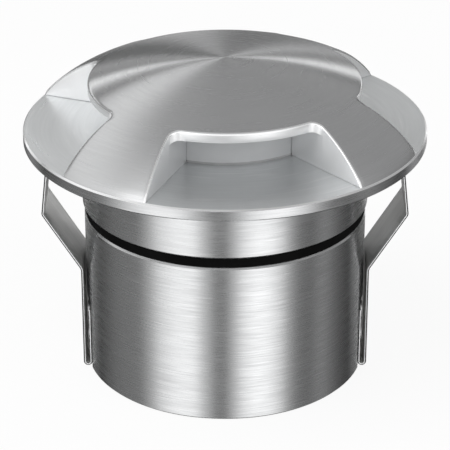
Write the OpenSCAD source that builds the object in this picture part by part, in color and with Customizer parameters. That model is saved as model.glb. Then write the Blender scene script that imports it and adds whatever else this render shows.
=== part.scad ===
// Recessed in ground light: domed stainless cover with four side windows on a flanged collar,
// screwed into a barrel that two hairpin spring clips hold in a ground sleeve.
// The origin is the centre of the barrel's foot, +Z is up, and the clips lie on the X axis.

/* [Flange and dome] */
// Outer diameter of the flange and of the dome on it
rim_d = 90; // [86:0.5:96]
// Thickness of the flange plate
rim_t = 2.7; // [2:0.1:4]
// Chamfer round the flange's outer edges
rim_chamfer = 0.35; // [0.2:0.05:0.7]
// Height of the dome's crown above the flange
dome_rise = 15.8; // [14:0.1:18]
// Radius of the arc that falls from the crown to the rim
shoulder_r = 32.6; // [29:0.1:36]
// Slope of the dome at the rim, in degrees
rim_slope = 52.2; // [48:0.2:55]
// Wall of the domed cover
cover_t = 2; // [1.4:0.1:2.6]
// Turn of the head against the spring clips, in degrees
head_angle = 9; // [0:1:45]

/* [Windows] */
// Half the angle that one window opens
window_half_angle = 30.6; // [26:0.2:33]
// How far the domed plate reaches over a pocket, out from the diffuser
window_reach = 7.9; // [6:0.1:10]
// Fillet in a window's inner corners
window_fillet = 2.3; // [1:0.1:3.4]
// Outer radius of the frosted diffuser at the back of the pockets
diffuser_r = 22.5; // [21.5:0.1:23.2]
// Wall of the diffuser
diffuser_t = 2; // [1.5:0.1:2.6]
// Thickness of the seals over and under the diffuser
lens_seal_t = 0.5; // [0.3:0.1:1]

/* [Collar and seal] */
// Height of the collar
collar_h = 15.1; // [12:0.1:18]
// Wall of the collar
collar_wall = 2.5; // [2:0.1:3]
// Height of the black seal
seal_h = 2.4; // [1.5:0.1:4]
// How far the seal lies back from the barrel's surface
seal_inset = 0.1; // [0:0.05:0.4]
// Length of the screwed neck below the collar
neck_l = 9; // [7:0.1:12]
// Wall of the screwed neck
neck_wall = 2.6; // [2:0.1:2.9]

/* [Barrel] */
// How far the barrel lies back from the collar's surface
barrel_step = 0.35; // [0.1:0.05:0.6]
// Height of the barrel, foot to seal
barrel_h = 37.6; // [34:0.1:44]
// Wall of the barrel
barrel_wall = 2.45; // [2:0.05:3]
// Thickness of the barrel's floor
floor_t = 3; // [2:0.1:4]
// Chamfer on the barrel's two outer edges
barrel_chamfer = 0.4; // [0.2:0.05:0.8]

/* [Spring clips] */
// Width of the spring strip
strip_w = 17.5; // [14:0.1:17.6]
// Thickness of the spring strip
strip_t = 0.5; // [0.4:0.05:0.6]
// Depth of the flats milled on the barrel for the strips
flat_depth = 1.25; // [1:0.05:1.5]
// Gap between the strip's outer leg and the barrel
leg_gap = 0.3; // [0.2:0.05:0.6]
// Gap from the foot plane up to the hairpin
hairpin_z = 0.5; // [0.3:0.1:1]
// Height of the bend where the arm leaves the barrel
bend_z = 24.95; // [22:0.1:28]
// Gap from the end of the upper leaf to the flange
tip_gap = 3.95; // [2:0.05:6]
// How far the knee, the arm's widest point, stands out from the barrel
knee_out = 9.05; // [7:0.05:11]
// Lean of the upper leaf, in degrees from upright
tip_lean = 7; // [3:0.5:10]
// Length of the upper leaf
tip_l = 11; // [8:0.1:12]
// Bend radius of the strip at the knee
knee_r = 1.2; // [0.8:0.1:2]
// Radius of a rivet's shank
rivet_r = 1.5; // [1.2:0.1:1.8]
// Radius of a rivet's head
rivet_head_r = 2.5; // [2.2:0.1:2.9]
// Thickness of a rivet's head
rivet_head_t = 0.6; // [0.4:0.05:0.7]
// Height of the lower rivet
rivet_low_z = 4.8; // [4.4:0.1:5.2]
// Distance of the upper rivet below the barrel's floor
rivet_drop = 4; // [3.4:0.1:4.6]

/* [Lamp] */
// Distance of the heat sink's top below the flange
lamp_drop = 5.1; // [4.9:0.1:6]
// Gap round the heat sink's top plate in the screwed neck
sink_gap = 0.9; // [0.5:0.1:1.6]
// Thickness of the heat sink's top plate
sink_plate_t = 4; // [3:0.1:5]
// How far the cooling fins stand out from the heat sink's can
fin_reach = 1.8; // [1:0.1:2.4]
// Wall of the heat sink's can
sink_wall = 1.6; // [1.2:0.1:1.8]
// Thickness of the heat sink's foot
sink_foot_t = 2; // [1.5:0.1:3]
// Cooling fins round the can
sink_fins = 24; // [12:4:32]
// Thickness of one cooling fin
fin_t = 0.9; // [0.6:0.1:1.2]
// Thickness of the thermal pad
pad_t = 0.5; // [0.3:0.1:1]
// How far the lamp board's edge lies inside the diffuser
lamp_inset = 2.1; // [1.9:0.1:3]
// Thickness of the lamp board
led_board_t = 1.6; // [1:0.1:2]
// Lamps on the board
led_n = 12; // [6:2:12]
// Radius of the ring of lamps
led_ring_r = 12; // [11:0.1:13]
// Width of one lamp
led_w = 3; // [2.5:0.1:3.4]
// Height of one lamp's case
led_h = 0.8; // [0.6:0.1:1.2]

/* [Driver] */
// Gap round the driver board in the heat sink's can
driver_gap = 0.8; // [0.4:0.1:1.4]
// Thickness of the driver board
driver_t = 1.6; // [1:0.1:2]
// Height of the standoffs under the driver board
standoff_h = 7; // [6:0.1:8]
// Radius of the inductor, as a share of the driver board's
inductor_share = 0.28; // [0.22:0.01:0.29]
// Height of the inductor
inductor_h = 10; // [8:0.1:12]
// Radius of a capacitor, as a share of the driver board's
capacitor_share = 0.185; // [0.14:0.005:0.2]
// Height of a capacitor
capacitor_h = 11; // [9:0.1:13]
// Radius of a lead
lead_r = 0.6; // [0.4:0.05:0.7]

/* [Cable gland] */
// Radius of the gland's screwed stem
gland_r = 6; // [5.5:0.1:6.4]
// Hexagon of the gland, across corners
gland_hex_d = 18.4; // [17:0.1:19]
// Height of the gland body's hexagon
gland_hex_h = 3.6; // [3:0.1:4]
// Height of the gland nut
gland_nut_h = 8.4; // [7.6:0.1:8.6]
// Gap from the gland nut down to the foot plane
gland_clear = 2.1; // [1:0.1:4]
// Bore of the rubber seal that grips the cable
cable_d = 6.2; // [5:0.1:6.6]

/* [Fits] */
// Play of the screwed neck in the barrel, on the radius
neck_play = 0.1; // [0.05:0.01:0.1]
// Play of a screw or rivet in its hole, on the radius
screw_play = 0.1; // [0.05:0.01:0.2]
// Play round seals, boards and the diffuser, on the radius
part_play = 0.1; // [0.05:0.01:0.2]
// Play of the spring arm at the bend that it turns about
bend_play = 0.05; // [0.02:0.01:0.1]
// Overrun of cuts past the face that they leave
cut = 1; // [0.5:0.1:2]

/* [Hidden] */
$fn = 96;

// Heights, from the foot up
gland_gasket_t = 0.8;
gland_nut_gap = 0.1;
recess_h = gland_clear + gland_nut_h + gland_nut_gap + gland_hex_h + gland_gasket_t;
seal_z = barrel_h;
collar_z = seal_z + seal_h;
flange_z = collar_z + collar_h;
rim_z = flange_z + rim_t;
apex_z = rim_z + dome_rise;
floor_top = recess_h + floor_t;
neck_z = collar_z - neck_l;

// Screws: thread radius, head radius and head height
m3_r = 1.5;
m3_head_r = 2.7;
m3_head_h = 2.2;
m2_r = 1;
m2_head_r = 1.9;
m2_head_h = 1.5;
socket_depth_share = 0.55;
socket_width_share = 0.95;

// Radii, from the diffuser out: land bore, cover screws, collar, barrel, neck
rim_r = rim_d / 2;
land_bore_r = diffuser_r + part_play;
land_screw_wall = 0.7;
land_screw_r = land_bore_r + land_screw_wall + m3_head_r;
collar_head_gap = 1;
collar_bore_r = land_screw_r + m3_head_r + collar_head_gap;
collar_r = collar_bore_r + collar_wall;
barrel_r = collar_r - barrel_step;
bore_r = barrel_r - barrel_wall;
neck_r = bore_r - neck_play;
neck_bore_r = neck_r - neck_wall;
collar_web_t = neck_wall;
window_r = diffuser_r + window_reach;
windows = 4;
land_turn = 360 / windows / 2;
land_half_angle = land_turn - window_half_angle;

// Dome: the shoulder arc meets the rim at its slope. The crown arc is centred on the axis,
// passes through the apex and touches the shoulder arc from outside, which gives its radius.
shoulder_x = rim_r - shoulder_r * sin(rim_slope);
shoulder_z = rim_z - shoulder_r * cos(rim_slope);
apex_gap = apex_z - shoulder_z;
crown_r = (shoulder_x * shoulder_x + apex_gap * apex_gap - shoulder_r * shoulder_r)
    / (2 * (apex_gap - shoulder_r));
crown_c = apex_z - crown_r;
centre_gap = crown_r - shoulder_r;
// Height of the dome, or of its inside when sunk by the wall, at a radius on the crown arc
function crown_height(x, sunk) = crown_c + sqrt(pow(crown_r - sunk, 2) - x * x);
// Radius at which the crown arc passes into the shoulder arc, for a surface sunk by the wall
function blend_x(sunk) = shoulder_x * (crown_r - sunk) / centre_gap;

// Lens and reflector
lens_seat_drop = 0.7;
lens_seat_z = crown_height(diffuser_r, cover_t) - lens_seat_drop;
diffuser_bore_r = diffuser_r - diffuser_t;
diffuser_z = rim_z + lens_seal_t;
diffuser_h = lens_seat_z - lens_seal_t - diffuser_z;
lens_seat_wall = 1.2;
lens_seal_band = 1.7;
reflector_play = 0.4;
reflector_r = diffuser_bore_r - reflector_play;
reflector_edge_t = 1;
reflector_drop = 1.6;
reflector_top = lens_seat_z - reflector_drop;
reflector_nose_r = 4;
reflector_nose_z = rim_z + lens_seal_t;
flank_steps = 8;
flank_power = 2;
reflector_grip = 3;
boss_r = 4.5;

// Cover: screws into the lands, and the hollow cored behind each
land_screw_grip = 6;
land_core_gap = 2.2;
land_core_r = land_screw_r + m3_r + land_core_gap;
land_core_edge = 4.6;
land_wall = 2;

// Heat sink and lamp board
sink_top = flange_z - lamp_drop;
sink_h = sink_top - floor_top;
sink_plate_r = neck_bore_r - sink_gap;
sink_can_r = sink_plate_r - fin_reach;
sink_can_bore = sink_can_r - sink_wall;
sink_foot_play = 0.3;
sink_foot_r = bore_r - sink_foot_play;
sink_screw_inset = 2.2;
sink_screw_r = sink_foot_r - sink_screw_inset;
sink_screw_grip = 2.2;
sink_screw_turn = 90;
fin_root = 0.4;
led_board_r = diffuser_bore_r - lamp_inset;
led_board_z = sink_top + pad_t;
led_face_z = led_board_z + led_board_t;
led_screw_r = 6;
led_screw_grip = 2.6;
led_lens_share = 0.4;
lead_hole_play = 0.3;
lead_bend_r = 1.8;
lead_x = led_board_r + lead_bend_r + lead_r / 2;
lead_end_x = led_board_r - lead_bend_r;
lead_pair_y = 2;

// Driver board and what stands on it
driver_z = floor_top + standoff_h;
driver_top = driver_z + driver_t;
driver_r = sink_can_bore - driver_gap;
standoff_d = 5;
standoff_ring_share = 0.815;
standoff_ring_r = driver_r * standoff_ring_share;
standoff_turns = [90, 210, 330];
standoff_stud = 1.8;
driver_screw_grip = 4;
part_wall = 0.8;
inductor_r = driver_r * inductor_share;
inductor_place = driver_r * [0.26, -0.24];
capacitor_r = driver_r * capacitor_share;
capacitor_place = driver_r * [-0.35, 0.24];
chip_plan = driver_r * [0.28, 0.23];
chip_t = 1.8;
chip_places = driver_r * [[-0.065, 0.51], [-0.065, -0.6]];
terminal_plan = driver_r * [0.37, 0.51];
terminal_h = 9;
terminal_place = driver_r * [0.555, 0.37];
terminal_hole_share = 0.145;
terminal_pitch_share = 0.45;

// Cable gland, from the floor down
gland_hex_z = recess_h - gland_gasket_t - gland_hex_h;
gland_nut_z = gland_hex_z - gland_nut_gap - gland_nut_h;
gland_lip_t = 2.6;
gland_stem_z = gland_nut_z + gland_lip_t + gland_nut_gap;
gland_wall = 1.7;
gland_bore_r = gland_r - gland_wall;
gland_locknut_h = 3;
gland_stem_top = floor_top + gland_locknut_h + gland_nut_gap;
gland_gasket_r = 8;
gland_seal_h = 8;
gland_seal_z = gland_stem_z;
gland_mouth_play = 0.4;
gland_dome_share = 0.8;
cable_r = cable_d / 2;

// Spring clip: the middle line of the strip, for the clip on +X
half_strip = strip_t / 2;
flat_x = barrel_r - flat_depth;
flat_over = 2;
flat_h = recess_h + flat_over;
rivet_leg_drop = 0.5;
rivet_leg_h = recess_h - rivet_leg_drop;
rivet_heights = [rivet_low_z, recess_h - rivet_drop];
hairpin_w = flat_depth + leg_gap + strip_t;
leg_in_x = flat_x + half_strip;
leg_out_x = flat_x + hairpin_w - half_strip;
hairpin_r = (leg_out_x - leg_in_x) / 2;
hairpin_c_z = hairpin_z + half_strip + hairpin_r;
bend_steps = 12;
arm_root_steps = 8;
knee_x = barrel_r + knee_out;
knee_z = flange_z - tip_gap - tip_l * cos(tip_lean);
tip_end = [knee_x - tip_l * sin(tip_lean), knee_z + tip_l * cos(tip_lean)];
rivet_sag = 0.25;
rivet_tail_x = bore_r - rivet_sag;

// Direction from one point to the next
function heading(p, q) = (q - p) / norm(q - p);
// Normal to the left of a direction
function left_of(d) = [-d[1], d[0]];
// Points of an arc about c, from angle a to angle b
function arc(c, r, a, b, n) = [for (i = [0 : n]) let (t = a + (b - a) * i / n) c + r * [cos(t), sin(t)]];

// Outline of the arm's cross section: a round root on the bend, a slanted leaf, the knee
// and the upper leaf. Both sides of the knee are arcs about one centre.
function arm_outline() =
    let (
        root = [leg_out_x, bend_z],
        knee = [knee_x, knee_z],
        d1 = heading(root, knee),
        d2 = heading(knee, tip_end),
        a1 = atan2(d1[1], d1[0]),
        a2 = atan2(d2[1], d2[0]),
        turn = a2 - a1,
        centre = knee + knee_r / cos(turn / 2) * heading([0, 0], left_of(d1) + left_of(d2)),
        tip = tip_end
    )
    concat(
        arc(root, half_strip, a1 + 90, a1 + 270, arm_root_steps),
        arc(centre, knee_r + half_strip, a1 - 90, a2 - 90, bend_steps),
        [tip - half_strip * left_of(d2), tip + half_strip * left_of(d2)],
        arc(centre, knee_r - half_strip, a2 - 90, a1 - 90, bend_steps)
    );

// A cross section in X and Z, drawn as a strip across Y
module across(width) {
    translate([0, width / 2, 0])
        rotate([90, 0, 0])
            linear_extrude(height = width)
                children();
}

// Half section of the dome above the flange, sunk by a wall
module dome_section(sunk) {
    split_x = blend_x(sunk);
    intersection() {
        translate([0, crown_c]) circle(r = crown_r - sunk, $fn = 360);
        translate([0, rim_z]) square([split_x, dome_rise]);
    }
    intersection() {
        translate([shoulder_x, shoulder_z]) circle(r = shoulder_r - sunk, $fn = 360);
        translate([split_x, rim_z]) square([rim_r - split_x + cut, dome_rise]);
    }
}

// Plan of a wedge between two angles, out past the rim
module wedge(half_angle, reach) {
    polygon([
        [0, 0],
        reach * [cos(half_angle), -sin(half_angle)],
        reach / cos(half_angle / 2) * [1, 0],
        reach * [cos(half_angle), sin(half_angle)]
    ]);
}

// Plan of one window: a wedge with a round inner edge and filleted inner corners
module window_plan() {
    fillet_c = window_r + window_fillet;
    fillet_turn = asin(window_fillet / fillet_c);
    side_reach = fillet_c * cos(fillet_turn);
    edge = window_half_angle - fillet_turn;
    difference() {
        wedge(window_half_angle, 2 * rim_r);
        circle(r = window_r, $fn = 360);
        for (s = [-1, 1])
            polygon([
                fillet_c * [cos(edge), s * sin(edge)],
                (window_r - window_fillet) * [cos(edge), s * sin(edge)],
                (window_r - window_fillet) * [cos(land_turn), s * sin(land_turn)],
                side_reach * [cos(land_turn), s * sin(land_turn)],
                side_reach * [cos(window_half_angle), s * sin(window_half_angle)]
            ]);
    }
    for (s = [-1, 1])
        rotate(s * edge)
            translate([fillet_c, 0])
                circle(r = window_fillet);
}

// Plan of one land between two windows, from the diffuser to past the rim
module land_plan() {
    difference() {
        wedge(land_half_angle, 2 * rim_r);
        circle(r = land_bore_r);
    }
}

// Plan of the hollow cored into a land from below
module land_core_plan() {
    core_shift = land_wall / sin(land_half_angle);
    intersection() {
        translate([core_shift, 0]) wedge(land_half_angle, 2 * rim_r);
        difference() {
            circle(r = rim_r - land_core_edge);
            circle(r = land_core_r);
        }
    }
}

// Copies of a piece round the head at its windows, or halfway between them
module at_windows(offset_turn) {
    for (i = [0 : windows - 1])
        rotate([0, 0, head_angle - 90 + offset_turn + 360 / windows * i])
            children();
}

// Screw with a cylinder head over its origin and a hexagon socket, shank down to -grip
module screw(r, head_r, head_h, grip) {
    difference() {
        union() {
            cylinder(r = head_r, h = head_h);
            translate([0, 0, -grip]) cylinder(r = r, h = grip + head_h / 2);
        }
        translate([0, 0, head_h * (1 - socket_depth_share)])
            cylinder(r = r * socket_width_share, h = head_h, $fn = 6);
    }
}

// Flat ring between two radii
module ring(outer, inner, height) {
    difference() {
        cylinder(r = outer, h = height);
        translate([0, 0, -cut]) cylinder(r = inner, h = height + 2 * cut);
    }
}

// Domed cap: hollow under its wall but for the four lands, with a seat for the diffuser
module cover() {
    color("silver")
    difference() {
        union() {
            difference() {
                rotate_extrude() dome_section(0);
                rotate_extrude() intersection() {
                    dome_section(cover_t);
                    translate([0, rim_z - cut]) square([window_r + window_fillet, dome_rise + cut]);
                }
                translate([0, 0, rim_z - cut])
                    cylinder(r = window_r + window_fillet, h = cut + cut / 2);
            }
            intersection() {
                rotate_extrude() dome_section(cover_t / 2);
                union() {
                    at_windows(land_turn)
                        translate([0, 0, rim_z]) linear_extrude(height = dome_rise) land_plan();
                    translate([0, 0, lens_seat_z])
                        ring(diffuser_r + lens_seat_wall, diffuser_bore_r, dome_rise);
                    translate([0, 0, reflector_top]) cylinder(r = boss_r, h = dome_rise);
                }
            }
        }
        at_windows(0)
            translate([0, 0, rim_z - cut])
                linear_extrude(height = dome_rise + 2 * cut) window_plan();
        intersection() {
            rotate_extrude() dome_section(cover_t);
            at_windows(land_turn)
                translate([0, 0, rim_z - cut]) linear_extrude(height = dome_rise) land_core_plan();
        }
        at_windows(land_turn)
            translate([land_screw_r, 0, rim_z - cut])
                cylinder(r = m3_r + screw_play, h = land_screw_grip + cut + part_play);
        translate([0, 0, reflector_top - cut])
            cylinder(r = m3_r + screw_play, h = cut + reflector_grip + part_play);
    }
}

// Flange plate with collar, and the screwed neck that enters the barrel
module flange_ring() {
    color("silver")
    difference() {
        rotate_extrude() polygon([
            [diffuser_bore_r, flange_z],
            [collar_bore_r, flange_z],
            [collar_bore_r, collar_z + collar_web_t],
            [neck_bore_r, collar_z + collar_web_t],
            [neck_bore_r, neck_z],
            [neck_r, neck_z],
            [neck_r, collar_z],
            [collar_r, collar_z],
            [collar_r, flange_z],
            [rim_r - rim_chamfer, flange_z],
            [rim_r, flange_z + rim_chamfer],
            [rim_r, rim_z - rim_chamfer],
            [rim_r - rim_chamfer, rim_z],
            [diffuser_bore_r, rim_z]
        ]);
        at_windows(land_turn)
            translate([land_screw_r, 0, flange_z - cut])
                cylinder(r = m3_r + screw_play, h = rim_t + 2 * cut);
    }
}

// Frosted ring that the light leaves through
module diffuser_ring() {
    color("whitesmoke")
    translate([0, 0, diffuser_z])
        ring(diffuser_r, diffuser_bore_r, diffuser_h);
}

// Seal of the diffuser, at a given height
module lens_gasket(z) {
    color("dimgray")
    translate([0, 0, z])
        ring(diffuser_r - part_play, diffuser_r - part_play - lens_seal_band, lens_seal_t);
}

module lens_gasket_upper() {
    lens_gasket(lens_seat_z - lens_seal_t);
}

module lens_gasket_lower() {
    lens_gasket(rim_z);
}

// Cone with a hollow flank that turns upward light sideways
module reflector_cone() {
    flank_w = reflector_r - reflector_nose_r;
    flank_h = reflector_top - reflector_edge_t - reflector_nose_z;
    color("white")
    rotate_extrude() polygon(concat(
        [[m3_r + screw_play, reflector_top], [m3_r + screw_play, reflector_nose_z]],
        [for (i = [0 : flank_steps]) let (s = i / flank_steps)
            [reflector_nose_r + flank_w * s, reflector_nose_z + flank_h * pow(s, 1 / flank_power)]],
        [[reflector_r, reflector_top]]
    ));
}

module reflector_screw() {
    color("gainsboro")
    translate([0, 0, reflector_nose_z])
        rotate([180, 0, 0])
            screw(m3_r, m3_head_r, m3_head_h, reflector_top - reflector_nose_z + reflector_grip);
}

module cover_screws() {
    color("gainsboro")
    at_windows(land_turn)
        translate([land_screw_r, 0, flange_z])
            rotate([180, 0, 0])
                screw(m3_r, m3_head_r, m3_head_h, rim_t + land_screw_grip);
}

// Black seal squeezed between collar and barrel
module body_gasket() {
    color("black")
    translate([0, 0, seal_z])
        ring(barrel_r - seal_inset, neck_r + part_play, seal_h);
}

// Lower housing: a cup with a floor above an open recess, flats and rivet holes for the clips
module barrel() {
    color("silver")
    difference() {
        rotate_extrude() polygon([
            [0, recess_h],
            [bore_r, recess_h],
            [bore_r, 0],
            [barrel_r - barrel_chamfer, 0],
            [barrel_r, barrel_chamfer],
            [barrel_r, barrel_h - barrel_chamfer],
            [barrel_r - barrel_chamfer, barrel_h],
            [bore_r, barrel_h],
            [bore_r, floor_top],
            [0, floor_top]
        ]);
        translate([0, 0, recess_h - cut])
            cylinder(r = gland_r + screw_play, h = floor_t + 2 * cut);
        for (i = [0 : 2])
            rotate([0, 0, sink_screw_turn + 120 * i])
                translate([sink_screw_r, 0, floor_top - sink_screw_grip - part_play])
                    cylinder(r = m2_r + screw_play, h = sink_screw_grip + cut);
        for (a = standoff_turns)
            rotate([0, 0, a])
                translate([standoff_ring_r, 0, floor_top - standoff_stud - part_play])
                    cylinder(r = m3_r + screw_play, h = standoff_stud + cut);
        for (s = [-1, 1]) {
            translate([s > 0 ? flat_x : -flat_x - barrel_wall, -barrel_r, -cut])
                cube([barrel_wall, 2 * barrel_r, flat_h + cut]);
            for (z = rivet_heights)
                translate([s > 0 ? bore_r - 2 * barrel_wall : -barrel_r - cut, 0, z])
                    rotate([0, 90, 0])
                        cylinder(r = rivet_r + screw_play, h = 3 * barrel_wall + cut);
        }
    }
}

// Finned can on the barrel's floor that carries the lamp board
module heat_sink() {
    foot_z = floor_top;
    color("lightsteelblue")
    difference() {
        union() {
            rotate_extrude() polygon([
                [sink_can_bore, foot_z],
                [sink_foot_r, foot_z],
                [sink_foot_r, foot_z + sink_foot_t],
                [sink_can_r, foot_z + sink_foot_t],
                [sink_can_r, sink_top - sink_plate_t],
                [sink_plate_r, sink_top - sink_plate_t],
                [sink_plate_r, sink_top],
                [0, sink_top],
                [0, sink_top - sink_plate_t],
                [sink_can_bore, sink_top - sink_plate_t]
            ]);
            for (i = [0 : sink_fins - 1])
                rotate([0, 0, (i + 0.5) * 360 / sink_fins])
                    translate([sink_can_r - fin_root, -fin_t / 2, foot_z + sink_foot_t - fin_root])
                        cube([sink_plate_r - sink_can_r, fin_t, sink_h - sink_foot_t - sink_plate_t
                            + 2 * fin_root]);
        }
        for (i = [0 : 2])
            rotate([0, 0, sink_screw_turn + 120 * i])
                translate([sink_screw_r, 0, foot_z - cut])
                    cylinder(r = m2_r + screw_play, h = sink_foot_t + 2 * cut);
        for (s = [-1, 1]) {
            translate([-lead_x, s * lead_pair_y, sink_top - sink_plate_t - cut])
                cylinder(r = lead_r + lead_hole_play, h = sink_plate_t + 2 * cut);
            translate([s * led_screw_r, 0, sink_top - led_screw_grip - part_play])
                cylinder(r = m2_r + screw_play, h = led_screw_grip + cut);
        }
    }
}

module heat_sink_screws() {
    color("gainsboro")
    for (i = [0 : 2])
        rotate([0, 0, sink_screw_turn + 120 * i])
            translate([sink_screw_r, 0, floor_top + sink_foot_t])
                screw(m2_r, m2_head_r, m2_head_h, sink_foot_t + sink_screw_grip);
}

// Disc under or on the lamp board, with the screw holes
module lamp_disc(r, z, t) {
    translate([0, 0, z])
        difference() {
            cylinder(r = r, h = t);
            for (s = [-1, 1])
                translate([s * led_screw_r, 0, -cut])
                    cylinder(r = m2_r + screw_play, h = t + 2 * cut);
        }
}

module thermal_pad() {
    color("gray") lamp_disc(led_board_r, sink_top, pad_t);
}

module led_board() {
    color("white") lamp_disc(led_board_r, led_board_z, led_board_t);
}

// Ring of lamps, each a square case with a round lens
module led_emitters() {
    color("gold")
    for (i = [0 : led_n - 1])
        rotate([0, 0, (i + 0.5) * 360 / led_n])
            translate([led_ring_r, 0, led_face_z]) {
                translate([-led_w / 2, -led_w / 2, 0]) cube([led_w, led_w, led_h]);
                cylinder(r = led_w * led_lens_share, h = led_h * (1 + led_lens_share));
            }
}

module led_board_screws() {
    color("gainsboro")
    for (s = [-1, 1])
        translate([s * led_screw_r, 0, led_face_z])
            screw(m2_r, m2_head_r, m2_head_h, led_board_t + pad_t + led_screw_grip);
}

// Two leads, up from the driver board through the heat sink and over onto the lamp board
module led_leads() {
    axis_z = led_face_z + lead_r;
    bend_c_z = axis_z - lead_bend_r;
    color("firebrick")
    for (s = [-1, 1])
        translate([0, s * lead_pair_y, 0]) {
            translate([-lead_x, 0, driver_top])
                cylinder(r = lead_r, h = bend_c_z - driver_top);
            translate([-lead_x + lead_bend_r, 0, bend_c_z])
                rotate([90, 0, 0])
                    rotate([0, 0, 90])
                        rotate_extrude(angle = 90)
                            translate([lead_bend_r, 0])
                                circle(r = lead_r);
            translate([-lead_x + lead_bend_r, 0, axis_z])
                rotate([0, 90, 0])
                    cylinder(r = lead_r, h = lead_x - lead_bend_r - lead_end_x);
        }
}

module driver_board() {
    color("seagreen")
    translate([0, 0, driver_z])
        difference() {
            cylinder(r = driver_r, h = driver_t);
            for (a = standoff_turns)
                rotate([0, 0, a])
                    translate([standoff_ring_r, 0, -cut])
                        cylinder(r = m3_r + screw_play, h = driver_t + 2 * cut);
        }
}

// Drum core with a wound waist
module driver_inductor() {
    waist = inductor_r - part_wall;
    color("saddlebrown")
    translate([inductor_place[0], inductor_place[1], driver_top])
        rotate_extrude() polygon([
            [0, 0],
            [inductor_r, 0],
            [inductor_r, part_wall],
            [waist, part_wall],
            [waist, inductor_h - part_wall],
            [inductor_r, inductor_h - part_wall],
            [inductor_r, inductor_h],
            [0, inductor_h]
        ]);
}

module driver_capacitors() {
    color("midnightblue")
    for (s = [-1, 1])
        translate([capacitor_place[0], s * capacitor_place[1], driver_top]) {
            cylinder(r = capacitor_r, h = capacitor_h - part_wall);
            cylinder(r = capacitor_r - part_wall, h = capacitor_h);
        }
}

module driver_chips() {
    color("dimgray")
    for (place = chip_places)
        translate([place[0] - chip_plan[0] / 2, place[1] - chip_plan[1] / 2, driver_top])
            cube([chip_plan[0], chip_plan[1], chip_t]);
}

// Two pole terminal, entries towards the cable
module terminal_block() {
    w = terminal_plan[0];
    l = terminal_plan[1];
    color("darkgreen")
    translate([terminal_place[0] - w / 2, terminal_place[1] - l / 2, driver_top])
        difference() {
            cube([w, l, terminal_h]);
            for (s = [-1, 1])
                translate([-cut, (1 + s * terminal_pitch_share) * l / 2, terminal_h / 3])
                    rotate([0, 90, 0])
                        cylinder(r = l * terminal_hole_share, h = w / 2 + cut);
        }
}

// Hexagon standoffs with a stud in the floor and a tapped top
module standoffs() {
    color("goldenrod")
    for (a = standoff_turns)
        rotate([0, 0, a])
            translate([standoff_ring_r, 0, floor_top])
                difference() {
                    union() {
                        cylinder(r = standoff_d / 2, h = standoff_h, $fn = 6);
                        translate([0, 0, -standoff_stud])
                            cylinder(r = m3_r, h = standoff_stud + part_play);
                    }
                    translate([0, 0, standoff_h - driver_screw_grip - part_play])
                        cylinder(r = m3_r + screw_play, h = driver_screw_grip + cut);
                }
}

module driver_board_screws() {
    color("gainsboro")
    for (a = standoff_turns)
        rotate([0, 0, a])
            translate([standoff_ring_r, 0, driver_top])
                screw(m3_r, m3_head_r, m3_head_h, driver_t + driver_screw_grip);
}

// Gland body: hexagon under the floor on a hollow stem that passes through it
module gland_body() {
    color("silver")
    difference() {
        union() {
            translate([0, 0, gland_stem_z])
                cylinder(r = gland_r, h = gland_stem_top - gland_stem_z);
            translate([0, 0, gland_hex_z])
                cylinder(r = gland_hex_d / 2, h = gland_hex_h, $fn = 6);
        }
        translate([0, 0, gland_stem_z - cut])
            cylinder(r = gland_bore_r, h = gland_stem_top - gland_stem_z + 2 * cut);
    }
}

module gland_gasket() {
    color("black")
    translate([0, 0, recess_h - gland_gasket_t])
        ring(gland_gasket_r, gland_r + part_play, gland_gasket_t);
}

// Rubber sleeve that closes on the cable
module gland_seal() {
    color("black")
    translate([0, 0, gland_seal_z])
        ring(gland_bore_r - part_play, cable_r, gland_seal_h);
}

// Hexagon nut with a round nose, over the stem and the seal
module gland_nut() {
    nose_r = gland_hex_d / 2 * gland_dome_share;
    color("silver")
    translate([0, 0, gland_nut_z])
        difference() {
            union() {
                translate([0, 0, gland_lip_t])
                    cylinder(r = gland_hex_d / 2, h = gland_nut_h - gland_lip_t, $fn = 6);
                cylinder(r1 = nose_r * gland_dome_share, r2 = nose_r, h = gland_lip_t);
            }
            translate([0, 0, -cut]) cylinder(r = cable_r + gland_mouth_play, h = gland_nut_h);
            translate([0, 0, gland_lip_t])
                cylinder(r = gland_r + screw_play, h = gland_nut_h);
        }
}

module gland_locknut() {
    color("silver")
    translate([0, 0, floor_top])
        difference() {
            cylinder(r = gland_hex_d / 2, h = gland_locknut_h, $fn = 6);
            translate([0, 0, -cut])
                cylinder(r = gland_r + screw_play, h = gland_locknut_h + 2 * cut);
        }
}

// Fixed part of a clip: riveted leg, hairpin and the leg up to the bend
module clip() {
    leg_top = bend_z - half_strip - bend_play;
    color("lightgray")
    difference() {
        across(strip_w)
            polygon(concat(
                [[flat_x, rivet_leg_h]],
                arc([leg_in_x + hairpin_r, hairpin_c_z], hairpin_r + half_strip, 180, 360, bend_steps),
                [[leg_out_x + half_strip, leg_top], [leg_out_x - half_strip, leg_top]],
                arc([leg_in_x + hairpin_r, hairpin_c_z], hairpin_r - half_strip, 360, 180, bend_steps),
                [[flat_x + strip_t, rivet_leg_h]]
            ));
        for (z = rivet_heights)
            translate([flat_x - cut, 0, z])
                rotate([0, 90, 0])
                    cylinder(r = rivet_r + screw_play, h = cut + strip_t + (hairpin_w - 2 * strip_t) / 2);
    }
}

// Springing part of a clip, from the bend up
module clip_arm() {
    color("lightgray")
    across(strip_w) polygon(arm_outline());
}

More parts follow.
